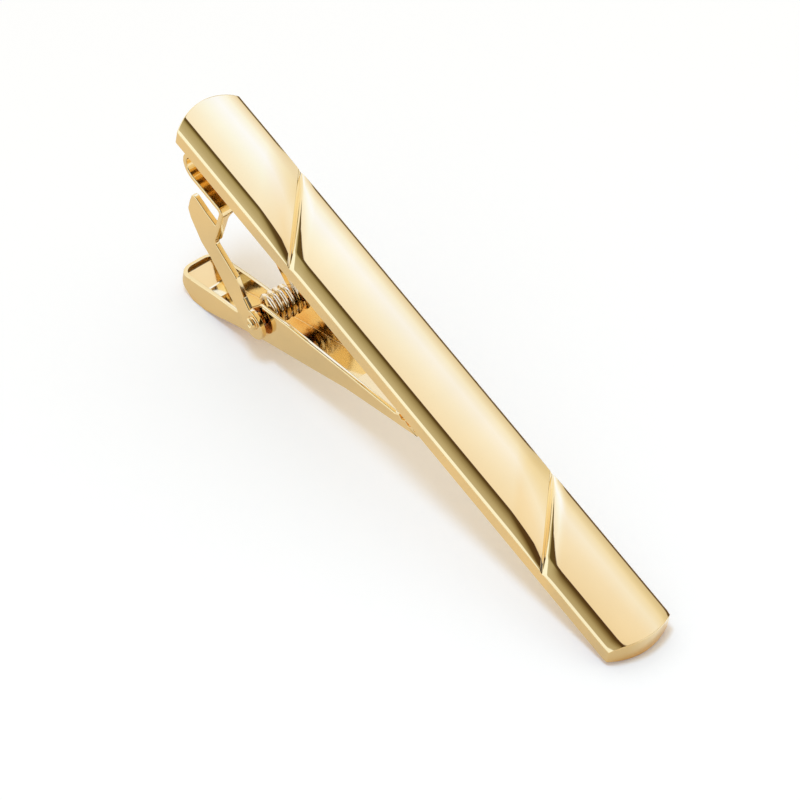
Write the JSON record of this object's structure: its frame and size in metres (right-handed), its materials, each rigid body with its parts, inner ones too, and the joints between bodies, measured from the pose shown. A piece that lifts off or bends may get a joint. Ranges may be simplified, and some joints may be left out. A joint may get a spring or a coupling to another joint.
{
  "type": "tie clip",
  "caption": "Sprung tie clip: a crowned, bevelled bar with slanted grooves, and a toothed jaw on a folded bracket that pinches a tie against the bar's back.",
  "frame": {"origin": "middle of the bar's flat back, which lies on the tie", "axes": "+X along the bar away from the hinge, +Y across the bar, +Z out of the bar's front"},
  "size_m": [0.058, 0.006, 0.022],
  "materials": {
    "gold_bar": "polished pale yellow gold plating, mirror bright",
    "gold_sheet": "polished pale yellow gold plating on pressed sheet",
    "gold_jaw": "polished pale yellow gold plating on pressed sheet",
    "gold_pin": "polished gold plating",
    "spring_wire": "bright plated spring wire with a light gold tint"
  },
  "bodies": {
    "root": {"bar": "gold_bar", "bracket": "gold_sheet", "hinge_pin": "gold_pin", "spring": "spring_wire"},
    "jaw": {"jaw": "gold_jaw"}
  },
  "joints": [
    {"name": "jaw_hinge", "type": "hinge", "parent": "root", "child": "jaw", "pos_m": [-0.0165, 0, -0.01155], "axis": [0, 1, 0], "range_deg": [0, 35], "stiffness_Nm_per_rad": 0.02, "springref_deg": -57.3, "deforming": ["spring"]}
  ]
}
